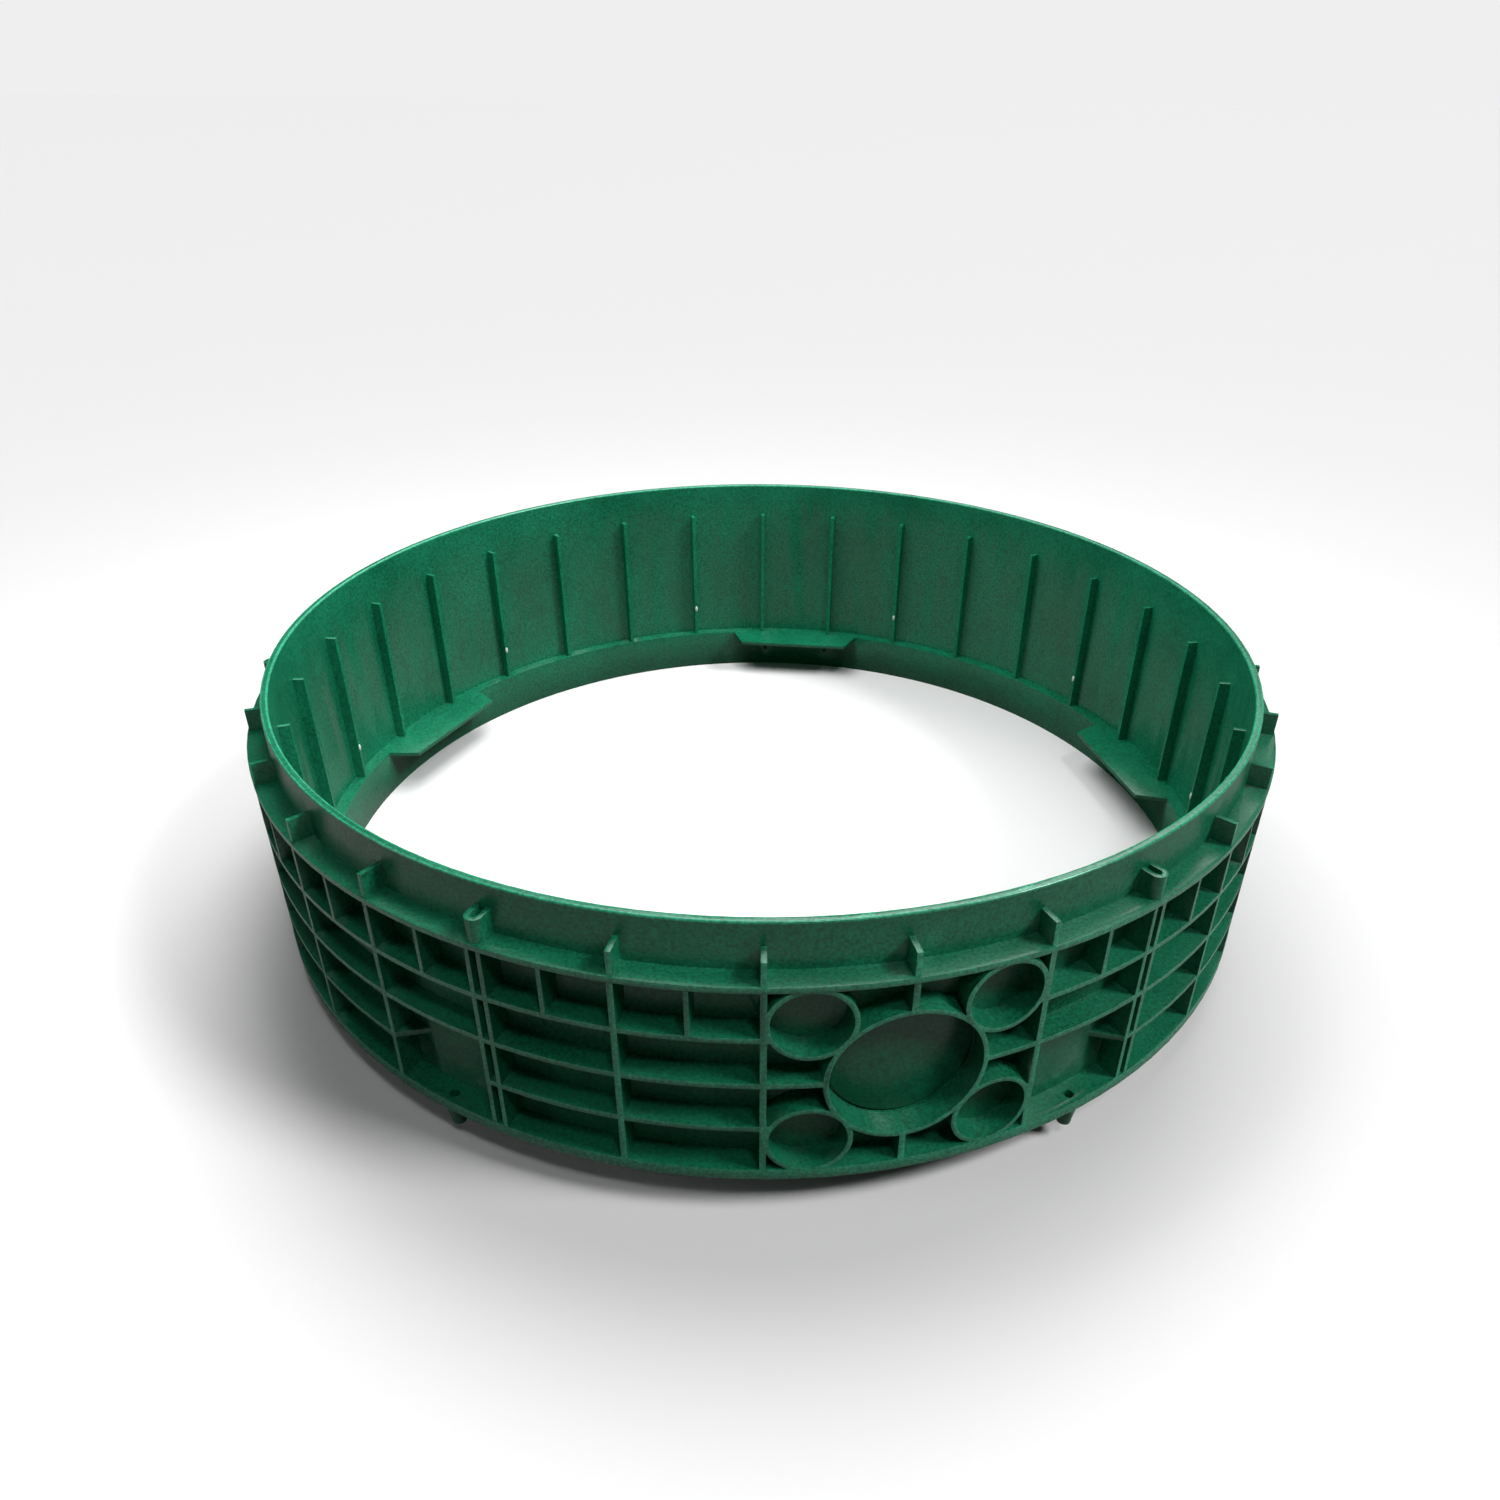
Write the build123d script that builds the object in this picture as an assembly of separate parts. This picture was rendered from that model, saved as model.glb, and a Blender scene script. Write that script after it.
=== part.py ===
# Septic tank riser, 24 in by 6 in: one injection moulded ring that stacks on another like it.
# It stands on its spigot band at Z = 0, centred on the Z axis, with its pipe knock-outs facing -Y.
# Lengths are millimetres and angles are degrees.
import os
from math import radians, sin, sqrt

from build123d import *

# Heights
stack_height = 152.4  # rim top down to flange underside, what one riser adds to a stack
spigot_depth = 23.7  # band below the flange, which enters the rim of the riser below
ledge_drop = 26.8  # rim top down to the ledge
ledge_thickness = 3.3
flange_thickness = 6.8
shoulder_rise = 9.7  # flange underside up to the shoulder inside
shoulder_thickness = 4.0

# Radial sizes, from the clear opening outwards
clear_opening = 609.6  # diameter inside the band
band_wall = 4.0
gasket_gap = 5.5  # groove between band and wall, open below
wall = 3.6  # wall behind the rib grid
rim_wall = 4.5  # wall above the ledge
wall_draft = 0.6  # how much the wall's inside narrows from the ledge down to the shoulder
rib_depth = 13.1  # wall face out to the rib edges
edge_overhang = 0.3  # ledge and flange beyond the rib edges

# Rib grid on the outside
rib_count = 30
row_count = 4
rib_thickness = 3.2
half_rib_thickness = 2.4  # short ribs halfway between, in the top row alone

# Tabs on the ledge, one above each rib, and screw bosses in place of some of them
tab_height = 13.7
tab_thickness = 2.8
tab_setback = 1.0  # tab end back from the ledge edge
boss_count = 6
boss_first = 2  # ribs from the port to the first boss
boss_slot = 3.8
boss_wall = 2.8
boss_rib_thickness = 2.6  # the two ribs that carry a boss down to the flange

# Screw pegs under the flange, each half a rib step before a boss
screw_inset = 5.8  # screw axis back from the flange edge
peg_top = 11.0
peg_tip = 7.6
peg_clearance = 0.3  # peg tip above the boss of the riser below
screw_hole = 5.4
driver_gap_inset = 12.0  # what is left of the lowest rib at the wall, each side of a screw peg

# Pipe knock-outs: a large one and four small ones round it, two rib steps wide
large_port = 77.0  # inside diameters
small_port = 38.4
port_wall = 2.6
port_merge = 2.0  # small ports sunk into ledge and flange
score_inset = 0.6  # groove in the large port's floor, in from its side
score_width = 1.6
score_depth = 1.8

# Inside
fin_thickness = 3.0
fin_top_depth = 7.0
fin_base_depth = 8.0
bracket_count = 5
bracket_angle = 18  # from the port to the first bracket
bracket_thickness = 3.0
bracket_reach = 27.0  # band face in to the straight edge, at the middle
bracket_edge = 98.0  # length of the straight edge
bracket_base = 118.0  # length along the band
gusset_thickness = 3.0
gusset_reach = 16.0
gusset_drop = 20.0
gusset_spread = 58.0  # between the two gussets of a bracket

# Levels and radii that follow from them
flange_bottom = spigot_depth
flange_top = flange_bottom + flange_thickness
rim_top = flange_bottom + stack_height
ledge_top = rim_top - ledge_drop
ledge_bottom = ledge_top - ledge_thickness
shoulder_top = flange_bottom + shoulder_rise
grid_height = ledge_bottom - flange_top
row_height = grid_height / row_count

band_inner_r = clear_opening / 2
band_outer_r = band_inner_r + band_wall
band_mid_r = band_inner_r + band_wall / 2
wall_inner_r = band_outer_r + gasket_gap
wall_outer_r = wall_inner_r + wall
wall_mid_r = wall_inner_r + wall / 2
rim_outer_r = wall_inner_r + rim_wall
rib_r = wall_outer_r + rib_depth
edge_r = rib_r + edge_overhang
screw_r = edge_r - screw_inset
pair_offset = (boss_slot + boss_wall) / 2  # each rib of a boss, from the boss's middle

rib_step = 360 / rib_count
port_angle = -90
rib_angles = [port_angle + rib_step * i for i in range(rib_count)]
boss_angles = rib_angles[boss_first :: rib_count // boss_count]
single_angles = [a for a in rib_angles if a not in boss_angles]
half_angles = [a + rib_step / 2 for a in rib_angles[1:-1]]
peg_angles = [a - rib_step / 2 for a in boss_angles]
bracket_angles = [port_angle + bracket_angle + 360 / bracket_count * i for i in range(bracket_count)]
all_low = (Align.MIN, Align.MIN, Align.MIN)
base_centre = (Align.CENTER, Align.CENTER, Align.MIN)


def copies(shape, angles):
    return [Rot(0, 0, angle) * shape for angle in angles]


def strip(r_in, r_out, low, high):
    """Flat rectangle between two radii and two heights."""
    return Pos(r_in, low) * Rectangle(r_out - r_in, high - low, align=(Align.MIN, Align.MIN))


def hoop(r_in, r_out, low, high):
    return revolve(Plane.XZ * strip(r_in, r_out, low, high), Axis.Z)


def radial_plate(thickness, low, high, offset=0):
    """Upright plate along +X across the rib depth, a little longer at both ends."""
    start = wall_mid_r - wall
    plate = Box(edge_r + wall - start, thickness, high - low, align=all_low)
    return Pos(start, offset - thickness / 2, low) * plate


def ring_shell():
    """Rim, wall, ledge, flange, shoulder and band, turned in one section."""
    draft = [
        (wall_inner_r, ledge_top),
        (wall_inner_r - wall_draft, shoulder_top),
        (wall_inner_r, shoulder_top),
    ]
    section = (
        strip(wall_inner_r, rim_outer_r, ledge_bottom, rim_top)
        + strip(wall_inner_r, wall_outer_r, flange_bottom, ledge_top)
        + make_face(Polyline(draft, close=True))
        + strip(wall_inner_r, edge_r, ledge_bottom, ledge_top)
        + strip(wall_inner_r, edge_r, flange_bottom, flange_top)
        + strip(band_inner_r, wall_outer_r, shoulder_top - shoulder_thickness, shoulder_top)
        + strip(band_inner_r, band_outer_r, 0, shoulder_top)
    )
    return revolve(Plane.XZ * section, Axis.Z)


def rib_level(row):
    return flange_top + row_height * row


def rib_hoop(row):
    return hoop(wall_mid_r, edge_r, rib_level(row) - rib_thickness / 2, rib_level(row) + rib_thickness / 2)


def driver_gap():
    """What the lowest rib loses above a screw peg, wide at the edge and narrow at the wall."""
    half_wall = wall_outer_r * sin(radians(rib_step / 2))
    half_edge = rib_r * sin(radians(rib_step / 2))
    outline = []
    for side, offset, thickness in ((-1, 0, rib_thickness), (1, pair_offset, boss_rib_thickness)):
        narrow = half_wall - offset - thickness / 2 - driver_gap_inset
        wide = half_edge - offset
        slope = (wide - narrow) / rib_depth
        inner = (wall_outer_r - wall, side * (narrow - slope * wall))
        outer = (rib_r + wall, side * (wide + slope * wall))
        outline += [inner, outer] if side < 0 else [outer, inner]
    prism = extrude(make_face(Polyline(outline, close=True)), rib_thickness * 2)
    return Pos(0, 0, rib_level(1) - rib_thickness) * prism


def port_rod(x, z, radius):
    """Round bar along -Y through the port panel, placed from the panel's middle."""
    panel_half = rib_r * sin(radians(rib_step))
    start = sqrt(wall_inner_r**2 - panel_half**2)
    rod = Cylinder(radius, edge_r + wall - start, align=base_centre)
    return Pos(x, -start, flange_top + grid_height / 2 + z) * Rot(90, 0, 0) * rod


def port_rods(added):
    """One bar for each port, as wide as the port and the added wall."""
    small_outer_r = small_port / 2 + port_wall
    side = rib_r * sin(radians(rib_step)) - small_outer_r
    rise = grid_height / 2 - small_outer_r + port_merge
    small = [port_rod(side * i, rise * j, small_port / 2 + added) for i in (-1, 1) for j in (-1, 1)]
    return [port_rod(0, 0, large_port / 2 + added)] + small


def port_score():
    """Groove round the large port's floor, where it is knocked out."""
    outer_r = large_port / 2 - score_inset
    ring = port_rod(0, 0, outer_r) - port_rod(0, 0, outer_r - score_width)
    return ring & hoop(wall_outer_r - score_depth, edge_r, flange_top, ledge_bottom)


def rib_grid():
    """Hoops and upright ribs outside the wall, with the port rings let into them."""
    low = flange_bottom + flange_thickness / 2
    high = ledge_top - ledge_thickness / 2
    lowest = rib_hoop(1) - copies(driver_gap(), peg_angles)
    hoops = [rib_hoop(row) for row in range(2, row_count)]
    single = radial_plate(rib_thickness, low, high)
    half = radial_plate(half_rib_thickness, rib_level(row_count - 1), high)
    left = radial_plate(boss_rib_thickness, low, high, -pair_offset)
    right = radial_plate(boss_rib_thickness, low, high, pair_offset)
    uprights = copies(single, single_angles) + copies(half, half_angles)
    uprights = uprights + copies(left, boss_angles) + copies(right, boss_angles)
    grid = lowest + hoops + uprights + port_rods(port_wall) - port_rods(0)
    return grid & hoop(wall_mid_r, rib_r, low, high)


def tab():
    tab_r = edge_r - tab_setback
    profile = strip(wall_mid_r, tab_r, ledge_top - ledge_thickness / 2, ledge_top + tab_height)
    return extrude(Plane.XZ * profile, tab_thickness / 2, both=True)


def screw_boss():
    """Upright U on the ledge, its round end outwards and its slot open to the rim."""
    outer_r = boss_slot / 2 + boss_wall
    root = rim_outer_r - rim_wall / 2
    shape = strip(root, screw_r, -outer_r, outer_r) + Pos(screw_r, 0) * Circle(outer_r)
    slot = strip(root, screw_r, -boss_slot / 2, boss_slot / 2) + Pos(screw_r, 0) * Circle(boss_slot / 2)
    body = extrude(shape, tab_height + ledge_thickness / 2)
    body = body - Pos(0, 0, ledge_thickness / 2) * extrude(slot, tab_height)
    return Pos(0, 0, ledge_top - ledge_thickness / 2) * body


def screw_peg():
    length = ledge_drop - tab_height - peg_clearance
    cone = Cone(peg_tip / 2, peg_top / 2, length, align=base_centre)
    root = Pos(0, 0, length) * Cylinder(peg_top / 2, flange_thickness / 2, align=base_centre)
    return Pos(screw_r, 0, flange_bottom - length) * (cone + root)


def screw_bore():
    return Pos(screw_r, 0, 0) * Cylinder(screw_hole / 2, rib_level(1), align=base_centre)


def fin():
    """Upright fin inside the wall, deeper at the shoulder than at its top."""
    foot = shoulder_top - shoulder_thickness / 2
    outline = [
        (wall_mid_r, foot),
        (wall_inner_r - fin_base_depth, foot),
        (wall_inner_r - fin_base_depth, shoulder_top),
        (wall_inner_r - fin_top_depth, ledge_top),
        (wall_mid_r, ledge_top),
    ]
    return extrude(Plane.XZ * make_face(Polyline(outline, close=True)), fin_thickness / 2, both=True)


def bracket():
    """Shelf inside the band with a straight edge, slanted ends and two gussets below."""
    base_x = sqrt(band_inner_r**2 - (bracket_base / 2) ** 2)
    edge_x = band_inner_r - bracket_reach
    slope = (bracket_base - bracket_edge) / 2 / (base_x - edge_x)
    half_back = bracket_edge / 2 + slope * (band_mid_r - edge_x)
    outline = [
        (edge_x, -bracket_edge / 2),
        (band_mid_r, -half_back),
        (band_mid_r, half_back),
        (edge_x, bracket_edge / 2),
    ]
    plate = extrude(make_face(Polyline(outline, close=True)), bracket_thickness)
    plate = Pos(0, 0, shoulder_top - bracket_thickness) * plate
    side = [
        (band_mid_r, shoulder_top - bracket_thickness / 2),
        (band_inner_r - gusset_reach, shoulder_top - bracket_thickness / 2),
        (band_inner_r - gusset_reach, shoulder_top - bracket_thickness * 2),
        (band_inner_r, shoulder_top - gusset_drop),
        (band_mid_r, shoulder_top - gusset_drop),
    ]
    gusset = extrude(Plane.XZ * make_face(Polyline(side, close=True)), gusset_thickness / 2, both=True)
    gussets = [Pos(0, gusset_spread / 2 * i, 0) * gusset for i in (-1, 1)]
    return (plate + gussets) & Cylinder(band_mid_r, rim_top, align=base_centre)


riser = ring_shell() + rib_grid() - port_score()
riser = riser + copies(tab(), single_angles) + copies(screw_boss(), boss_angles)
riser = riser + copies(screw_peg(), peg_angles) - copies(screw_bore(), peg_angles)
riser = riser + copies(fin(), rib_angles) + copies(bracket(), bracket_angles)

os.makedirs("parts", exist_ok=True)
export_step(riser, "parts/riser_ring.step")
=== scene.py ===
from math import cos, radians, sin

import bpy
from mathutils import Matrix, Vector


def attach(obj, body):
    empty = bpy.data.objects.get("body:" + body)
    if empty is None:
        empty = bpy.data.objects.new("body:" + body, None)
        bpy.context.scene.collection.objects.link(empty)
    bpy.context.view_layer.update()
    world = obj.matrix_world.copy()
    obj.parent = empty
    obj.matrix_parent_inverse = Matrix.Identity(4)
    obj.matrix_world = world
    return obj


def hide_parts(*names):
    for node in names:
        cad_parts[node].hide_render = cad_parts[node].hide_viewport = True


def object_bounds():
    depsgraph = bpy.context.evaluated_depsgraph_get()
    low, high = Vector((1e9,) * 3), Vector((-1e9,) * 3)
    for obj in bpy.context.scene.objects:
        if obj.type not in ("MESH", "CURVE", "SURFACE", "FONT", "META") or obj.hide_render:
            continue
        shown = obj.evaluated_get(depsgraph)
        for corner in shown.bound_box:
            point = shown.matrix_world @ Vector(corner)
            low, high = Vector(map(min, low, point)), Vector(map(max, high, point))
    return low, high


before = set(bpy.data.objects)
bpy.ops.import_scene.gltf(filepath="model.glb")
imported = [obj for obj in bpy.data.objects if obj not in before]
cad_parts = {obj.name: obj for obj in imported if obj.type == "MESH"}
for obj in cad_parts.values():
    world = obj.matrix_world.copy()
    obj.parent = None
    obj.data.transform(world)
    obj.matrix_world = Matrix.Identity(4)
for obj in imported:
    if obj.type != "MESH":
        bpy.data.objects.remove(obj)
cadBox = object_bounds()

mm = 0.001
scene = bpy.context.scene
scene.view_settings.view_transform = "Standard"


def linear(hexText):  # sRGB hex to the linear colour that a socket holds
    parts = [int(hexText[i:i + 2], 16) / 255 for i in (1, 3, 5)]
    return [p / 12.92 if p <= 0.04045 else ((p + 0.055) / 1.055) ** 2.4 for p in parts] + [1.0]


def addNode(tree, kind, at, settings=None, inputs=None, links=None):
    node = tree.nodes.new(kind)
    node.location = at
    for name, value in (settings or {}).items():
        setattr(node, name, value)
    for name, value in (inputs or {}).items():
        node.inputs[name].default_value = value
    for name, (source, output) in (links or {}).items():
        tree.links.new(source.outputs[output], node.inputs[name])
    return node


def newMaterial(name):
    material = bpy.data.materials.new(name)
    material.use_nodes = True
    tree = material.node_tree
    shader = tree.nodes["Principled BSDF"]
    return material, tree, shader


def pickOnly(*objects):
    bpy.ops.object.select_all(action="DESELECT")
    for thing in objects:
        thing.select_set(True)
    bpy.context.view_layer.objects.active = objects[0]


# The view: fitted to the photograph's rim, ledge, ribs and flange
view = {
    "place": (4.5, -697.5, 483.8),  # mm, with the camera's heading along +Y
    "heading": -12.553,  # degrees that the whole view is turned about the ring's axis
    "tilt": 31.113,  # degrees below level
    "roll": 0.51,
    "lens": 26.69,
    "sensor": 36,  # mm
    "shiftX": -0.0125,
    "shiftY": 0.0111,
    "nearClip": 10,  # mm
}


def aroundRing(x, y, z):  # a place given as the camera sees it, in mm
    turn = Matrix.Rotation(radians(view["heading"]), 3, "Z")
    return turn @ Vector((x, y, z)) * mm


cameraData = bpy.data.cameras.new("photoCamera")
cameraData.sensor_fit = "HORIZONTAL"
cameraData.sensor_width = view["sensor"]
cameraData.lens = view["lens"]
cameraData.shift_x = view["shiftX"]
cameraData.shift_y = view["shiftY"]
cameraData.clip_start = view["nearClip"] * mm
camera = bpy.data.objects.new("photoCamera", cameraData)
scene.collection.objects.link(camera)
facing = (
    Matrix.Rotation(radians(view["heading"]), 4, "Z")
    @ Matrix.Rotation(radians(90 - view["tilt"]), 4, "X")
    @ Matrix.Rotation(radians(view["roll"]), 4, "Z")
)
camera.matrix_world = Matrix.Translation(aroundRing(*view["place"])) @ facing
scene.camera = camera
print("camera placed")


# Moulded polyethylene, pigmented dark green: a waxy skin with a soft broad gloss, the fine grain of
# the mould's steel, faint flow marks where the plastic ran between the gates, and dull scuffs
plastic = {
    "deep": "#0d5d41",
    "fresh": "#137051",
    "flowSize": 70,  # mm
    "speckSize": 1.8,  # mm, uneven pigment
    "speckDepth": 0.42,
    "noiseLow": 0.3,  # what most of a noise's values lie between
    "noiseHigh": 0.7,
    "scuff": "#3f7f66",
    "scuffAmount": 0.14,
    "scuffSize": 45,  # mm, across a group of scuffs
    "scuffLow": 0.55,  # noise where a group of scuffs begins, and where it is thickest
    "scuffHigh": 0.75,
    "scratchSize": 6,  # mm
    "scratchStretch": (1.0, 1.0, 5.0),
    "scratchTurn": (20, 12, 0),  # degrees
    "scratchLow": 0.45,
    "scratchHigh": 0.7,
    "ior": 1.54,
    "specular": 0.5,
    "roughLow": 0.24,
    "roughHigh": 0.36,
    "grainSize": 1.6,  # mm, drawn about twice as coarse as the real grain so that it shows
    "grainHeight": 0.04,  # mm
}
# The same plastic on the rounded edges and the ribs' outer edges, painted paler as a highlight where the
# edges catch the light, and a little smoother in gloss
edgeHighlightPlastic = {
    **plastic,
    "deep": "#2a8564",
    "fresh": "#349372",
    "roughLow": 0.2,
    "roughHigh": 0.28,
}


def addPigment(tree, place, flow, settings):  # green that changes along the flow marks, with fine specks
    shade = addNode(
        tree, "ShaderNodeMapRange", (-950, 250),
        inputs={"From Min": settings["noiseLow"], "From Max": settings["noiseHigh"]},
        links={"Value": (flow, "Fac")},
    )
    body = addNode(
        tree, "ShaderNodeMix", (-700, 350), {"data_type": "RGBA"},
        inputs={"A": linear(settings["deep"]), "B": linear(settings["fresh"])},
        links={"Factor": (shade, "Result")},
    )
    speck = addNode(
        tree, "ShaderNodeTexNoise", (-1200, 100),
        inputs={"Scale": 1 / (settings["speckSize"] * mm), "Detail": 2.0, "Roughness": 0.6},
        links={"Vector": (place, "Object")},
    )
    mottle = addNode(
        tree, "ShaderNodeMapRange", (-950, 0),
        inputs={"From Min": settings["noiseLow"], "From Max": settings["noiseHigh"],
                "To Min": 1 - settings["speckDepth"], "To Max": 1 + settings["speckDepth"]},
        links={"Value": (speck, "Fac")},
    )
    return addNode(
        tree, "ShaderNodeVectorMath", (-480, 350), {"operation": "MULTIPLY"},
        links={0: (body, "Result"), 1: (mottle, "Result")},
    )


def addScuffs(tree, place, settings):  # fine scratches that only show inside scattered patches
    patches = addNode(
        tree, "ShaderNodeTexNoise", (-1200, -250),
        inputs={"Scale": 1 / (settings["scuffSize"] * mm), "Detail": 4.0, "Roughness": 0.7},
        links={"Vector": (place, "Object")},
    )
    patchMask = addNode(
        tree, "ShaderNodeMapRange", (-950, -250),
        inputs={"From Min": settings["scuffLow"], "From Max": settings["scuffHigh"],
                "To Max": settings["scuffAmount"]},
        links={"Value": (patches, "Fac")},
    )
    stretched = addNode(
        tree, "ShaderNodeMapping", (-1200, -520),
        inputs={"Scale": settings["scratchStretch"],
                "Rotation": [radians(angle) for angle in settings["scratchTurn"]]},
        links={"Vector": (place, "Object")},
    )
    scratches = addNode(
        tree, "ShaderNodeTexNoise", (-950, -500),
        inputs={"Scale": 1 / (settings["scratchSize"] * mm), "Detail": 5.0, "Roughness": 0.75},
        links={"Vector": (stretched, "Vector")},
    )
    scratchMask = addNode(
        tree, "ShaderNodeMapRange", (-700, -450),
        inputs={"From Min": settings["scratchLow"], "From Max": settings["scratchHigh"]},
        links={"Value": (scratches, "Fac")},
    )
    return addNode(
        tree, "ShaderNodeMath", (-480, -300), {"operation": "MULTIPLY"},
        links={0: (patchMask, "Result"), 1: (scratchMask, "Result")},
    )


def addGrain(tree, place, settings):  # the mould's grain, as a bump
    grain = addNode(
        tree, "ShaderNodeTexNoise", (-480, -550),
        inputs={"Scale": 1 / (settings["grainSize"] * mm), "Detail": 2.0, "Roughness": 0.5},
        links={"Vector": (place, "Object")},
    )
    return addNode(
        tree, "ShaderNodeBump", (-250, -350),
        inputs={"Strength": 1.0, "Distance": settings["grainHeight"] * mm},
        links={"Height": (grain, "Fac")},
    )


def makeGreenPlastic(name, settings):
    material, tree, shader = newMaterial(name)
    place = addNode(tree, "ShaderNodeTexCoord", (-1500, 0))
    flow = addNode(
        tree, "ShaderNodeTexNoise", (-1200, 350),
        inputs={"Scale": 1 / (settings["flowSize"] * mm), "Detail": 3.0, "Roughness": 0.6},
        links={"Vector": (place, "Object")},
    )
    pigment = addPigment(tree, place, flow, settings)
    scuffs = addScuffs(tree, place, settings)
    grain = addGrain(tree, place, settings)
    skin = addNode(
        tree, "ShaderNodeMix", (-250, 300), {"data_type": "RGBA"},
        inputs={"B": linear(settings["scuff"])},
        links={"Factor": (scuffs, "Value"), "A": (pigment, "Vector")},
    )
    gloss = addNode(
        tree, "ShaderNodeMapRange", (-480, 50),
        inputs={"From Min": settings["noiseLow"], "From Max": settings["noiseHigh"],
                "To Min": settings["roughLow"], "To Max": settings["roughHigh"]},
        links={"Value": (flow, "Fac")},
    )
    tree.links.new(skin.outputs["Result"], shader.inputs["Base Color"])
    tree.links.new(gloss.outputs["Result"], shader.inputs["Roughness"])
    tree.links.new(grain.outputs["Normal"], shader.inputs["Normal"])
    shader.inputs["IOR"].default_value = settings["ior"]
    shader.inputs["Specular IOR Level"].default_value = settings["specular"]
    return material


greenPlastic = makeGreenPlastic("mouldedPolyethylene", plastic)
# the paler copy paints highlights on the edges
edgeHighlight = makeGreenPlastic("paintedEdgeHighlightPolyethylene", edgeHighlightPlastic)
print("plastic mixed")

# The ring: a merged copy of the CAD mesh with every moulded edge rounded off
ring = {
    "node": "riser_ring",
    "weld": 0.02,  # mm
    "flatAngle": 0.4,  # degrees, faces flatter than this to each other become one
    "edgeAngle": 30,
    "edgeRound": 0.5,  # mm
    "edgeSteps": 2,
    "rimRound": 1.2,  # mm, the rim's top edge is rounder than the rest
    "rimSteps": 4,
    "highlightReach": 1.2,  # mm in from the widest edge, where whole faces get the painted highlight
    "smoothAngle": 35,
}
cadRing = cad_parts[ring["node"]]
riserRing = bpy.data.objects.new("riserRing", cadRing.data.copy())
scene.collection.objects.link(riserRing)
pickOnly(riserRing)
bpy.ops.object.mode_set(mode="EDIT")
bpy.ops.mesh.select_all(action="SELECT")
bpy.ops.mesh.remove_doubles(threshold=ring["weld"] * mm)
bpy.ops.mesh.dissolve_limited(angle_limit=radians(ring["flatAngle"]))
bpy.ops.mesh.select_all(action="DESELECT")
bpy.ops.object.mode_set(mode="OBJECT")
riserRing.data.materials.clear()
riserRing.data.materials.append(greenPlastic)
# second slot: the paler plastic, a painted highlight on the edges
riserRing.data.materials.append(edgeHighlight)
highlightSlot = riserRing.data.materials.find(edgeHighlight.name)

points = riserRing.data.vertices
outerEdge = cadBox[1][0] - ring["highlightReach"] * mm
for face in riserRing.data.polygons:  # the outer edges of ribs, ledge, flange and tabs, painted paler as a highlight
    if min(points[i].co.xy.length for i in face.vertices) > outerEdge:
        face.material_index = highlightSlot
for edge in riserRing.data.edges:  # the two loops round the rim's top
    a, b = (points[i].co for i in edge.vertices)
    onTop = min(a.z, b.z) > cadBox[1][2] - ring["weld"] * mm
    edge.select = onTop and abs(a.xy.length - b.xy.length) < ring["weld"] * mm
bpy.ops.object.mode_set(mode="EDIT")
bpy.ops.mesh.select_mode(type="EDGE")
# the rim's rounded top gets the painted highlight colour
bpy.ops.mesh.bevel(
    offset=ring["rimRound"] * mm, segments=ring["rimSteps"], affect="EDGES", material=highlightSlot,
)
bpy.ops.object.mode_set(mode="OBJECT")
rounding = riserRing.modifiers.new("edgeRound", "BEVEL")
rounding.limit_method = "ANGLE"
rounding.angle_limit = radians(ring["edgeAngle"])
rounding.width = ring["edgeRound"] * mm
rounding.segments = ring["edgeSteps"]
# every rounded edge gets the painted highlight colour
rounding.material = highlightSlot
bpy.ops.object.modifier_apply(modifier=rounding.name)
bpy.ops.object.shade_smooth_by_angle(angle=radians(ring["smoothAngle"]))
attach(riserRing, "root")
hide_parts(ring["node"])
print("ring rounded:", len(riserRing.data.polygons), "faces")

# Gate marks: where the runners were torn off the inner fins
gate = {
    "radius": 306.5,  # mm, the fins' inner edge
    "level": 59.0,  # mm above the floor
    "firstAngle": 18,  # degrees
    "count": 10,
    "ball": 1.0,  # mm across, the round blob that each mark is stretched from
    "ballSides": 14,
    "ballRows": 8,
    "torn": 0.035,  # mm that the blob's points stray before it is stretched
    "firstSeed": 3,
    "width": 2.6,  # times the blob, and so are the next two
    "height": 5.6,
    "depth": 1.4,
    "smoothAngle": 60,
}
# Torn polyethylene, stretched until it went white: chalky flecks that catch the eye on the dark fins
tornPlastic = {
    "pale": "#b9d6c8",
    "white": "#f2f7f3",
    "grainSize": 0.9,  # mm
    "rough": 0.6,
}
torn, tornTree, tornShader = newMaterial("tornPolyethylene")
tornPlace = addNode(tornTree, "ShaderNodeTexCoord", (-900, 0))
tornGrain = addNode(
    tornTree, "ShaderNodeTexNoise", (-650, 0),
    inputs={"Scale": 1 / (tornPlastic["grainSize"] * mm), "Detail": 3.0},
    links={"Vector": (tornPlace, "Object")},
)
tornTint = addNode(
    tornTree, "ShaderNodeMix", (-350, 100), {"data_type": "RGBA"},
    inputs={"A": linear(tornPlastic["pale"]), "B": linear(tornPlastic["white"])},
    links={"Factor": (tornGrain, "Fac")},
)
tornTree.links.new(tornTint.outputs["Result"], tornShader.inputs["Base Color"])
tornShader.inputs["Roughness"].default_value = tornPlastic["rough"]
tornShader.inputs["IOR"].default_value = plastic["ior"]

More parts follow.
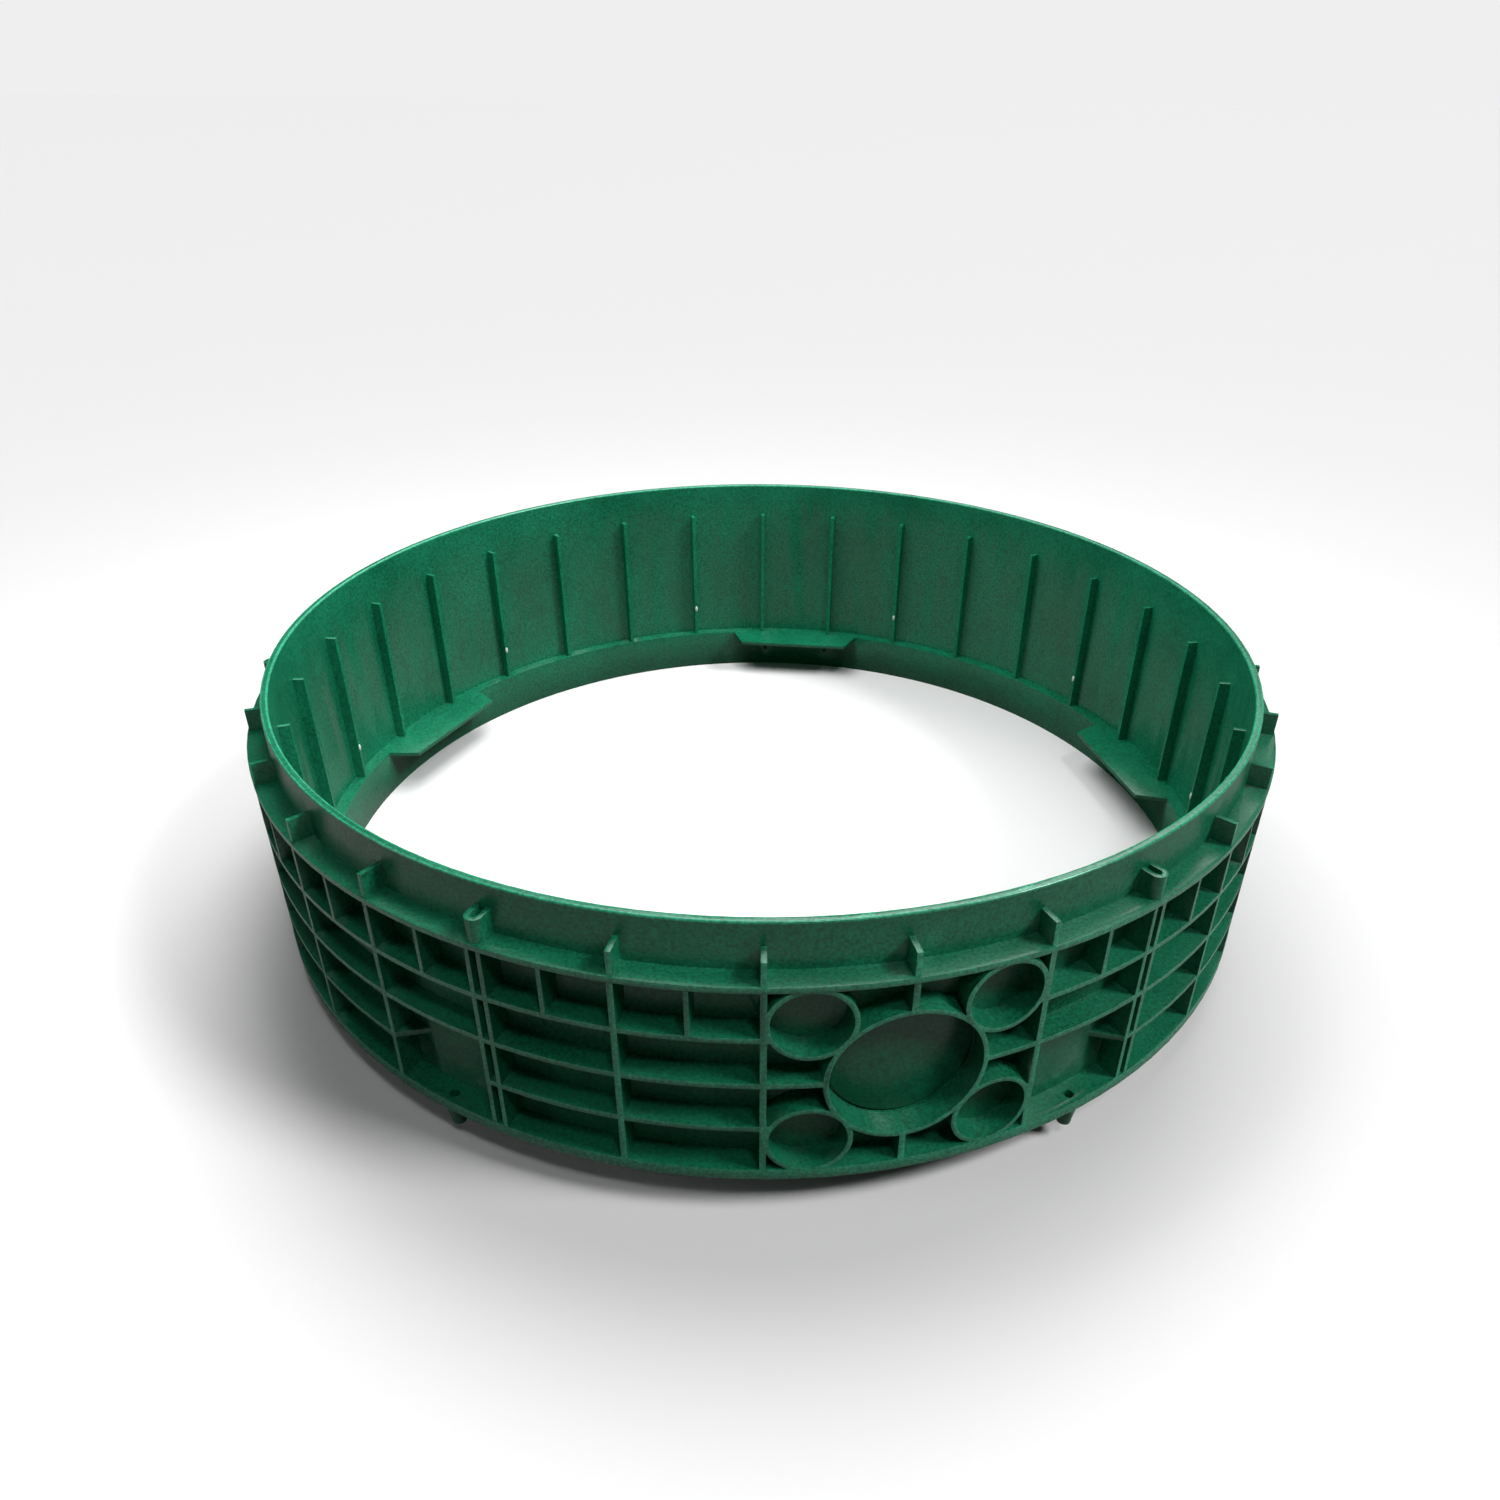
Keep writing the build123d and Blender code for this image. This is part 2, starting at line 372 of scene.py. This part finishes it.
marks = []
for i in range(gate["count"]):
    bpy.ops.mesh.primitive_uv_sphere_add(
        segments=gate["ballSides"], ring_count=gate["ballRows"], radius=gate["ball"] / 2 * mm,
        location=(0, 0, 0),
    )
    mark = bpy.context.active_object
    bpy.ops.object.mode_set(mode="EDIT")
    bpy.ops.mesh.select_all(action="SELECT")
    bpy.ops.transform.vertex_random(
        offset=gate["torn"] * mm, uniform=1.0, normal=0.0, seed=i + gate["firstSeed"],
    )
    bpy.ops.transform.resize(value=(gate["depth"], gate["width"], gate["height"]))
    bpy.ops.object.mode_set(mode="OBJECT")
    angle = radians(gate["firstAngle"] + 360 / gate["count"] * i)
    seat = Vector((gate["radius"] * cos(angle), gate["radius"] * sin(angle), gate["level"])) * mm
    mark.matrix_world = Matrix.Translation(seat) @ Matrix.Rotation(angle, 4, "Z")
    marks.append(mark)
pickOnly(*marks)
bpy.ops.object.join()
gateMarks = bpy.context.active_object
gateMarks.name = "gateMarks"
bpy.ops.object.transform_apply(location=True, rotation=True, scale=True)
bpy.ops.object.shade_smooth_by_angle(angle=radians(gate["smoothAngle"]))
gateMarks.data.materials.clear()
gateMarks.data.materials.append(torn)
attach(gateMarks, "root")
print("gate marks torn:", gate["count"])

# Floor: matte paper that runs out to the horizon, a plain pale ground for the ring's shadow. Only the
# camera sees it that pale: the ring is lit as if it stood on dark card, so that the rib cells stay deep
studio = {
    "paper": "#dfdfdf",
    "sheen": "#8e8e8c",  # the floor in the plastic's gloss
    "bounce": "#3a3a39",  # the floor as it lights the ring
    "paperRough": 0.9,
    "paperSpecular": 0.1,
    "floorSize": 300,  # m
    "white": "#ffffff",
    "backdrop": 0.863,  # brightness of the pale backdrop that meets the floor
    "room": 0.05,  # brightness of the dim room that the ring stands in
    "aim": 90,  # mm above the floor, where the lamps point
}
bpy.ops.mesh.primitive_plane_add(size=studio["floorSize"], location=(0, 0, cadBox[0][2]))
floor = bpy.context.active_object
floor.name = "studioFloor"
paper, paperTree, paperShader = newMaterial("palePaper")
ray = addNode(paperTree, "ShaderNodeLightPath", (-800, 0))
card = addNode(
    paperTree, "ShaderNodeMix", (-550, -100), {"data_type": "RGBA"},
    inputs={"A": linear(studio["sheen"]), "B": linear(studio["bounce"])},
    links={"Factor": (ray, "Is Diffuse Ray")},
)
paperTint = addNode(
    paperTree, "ShaderNodeMix", (-300, 100), {"data_type": "RGBA"},
    inputs={"B": linear(studio["paper"])},
    links={"Factor": (ray, "Is Camera Ray"), "A": (card, "Result")},
)
paperTree.links.new(paperTint.outputs["Result"], paperShader.inputs["Base Color"])
paperShader.inputs["Roughness"].default_value = studio["paperRough"]
paperShader.inputs["Specular IOR Level"].default_value = studio["paperSpecular"]
floor.data.materials.append(paper)

world = bpy.data.worlds.new("studioWorld")
world.use_nodes = True
worldTree = world.node_tree
background = worldTree.nodes["Background"]
worldRay = addNode(worldTree, "ShaderNodeLightPath", (-700, 0))
paleness = addNode(
    worldTree, "ShaderNodeMapRange", (-450, 0),
    inputs={"To Min": studio["room"], "To Max": studio["backdrop"]},
    links={"Value": (worldRay, "Is Camera Ray")},
)
worldTree.links.new(paleness.outputs["Result"], background.inputs["Strength"])
background.inputs["Color"].default_value = linear(studio["white"])
scene.world = world

lamps = [
    # name, kind, place as the camera sees it in mm, spread in m or for a sun in degrees, strength,
    # and whether it shows in the gloss
    ("keySun", "SUN", (1480, -340, 1650), 16, 2.25, True),
    ("frontSun", "SUN", (350, -720, 1750), 8, 0.5, True),
    ("fillSun", "SUN", (-1500, -250, 700), 20, 0.28, True),
    ("topSun", "SUN", (150, 900, 1600), 40, 1.5, True),
    ("openingSoftbox", "AREA", (-90, 130, 720), 0.5, 5.2, False),
    ("glossSun", "SUN", (735, 1507, 1350), 16, 0.25, True),
]
for name, kind, spot, spread, strength, shine in lamps:
    lampData = bpy.data.lights.new(name, kind)
    lampData.energy = strength
    if kind == "SUN":
        lampData.angle = radians(spread)
    else:
        lampData.size = spread
    lamp = bpy.data.objects.new(name, lampData)
    lamp.visible_glossy = shine
    scene.collection.objects.link(lamp)
    here = aroundRing(*spot)
    towards = Vector((0, 0, studio["aim"] * mm)) - here
    lamp.matrix_world = Matrix.Translation(here) @ towards.to_track_quat("-Z", "Y").to_matrix().to_4x4()
print("studio lit")
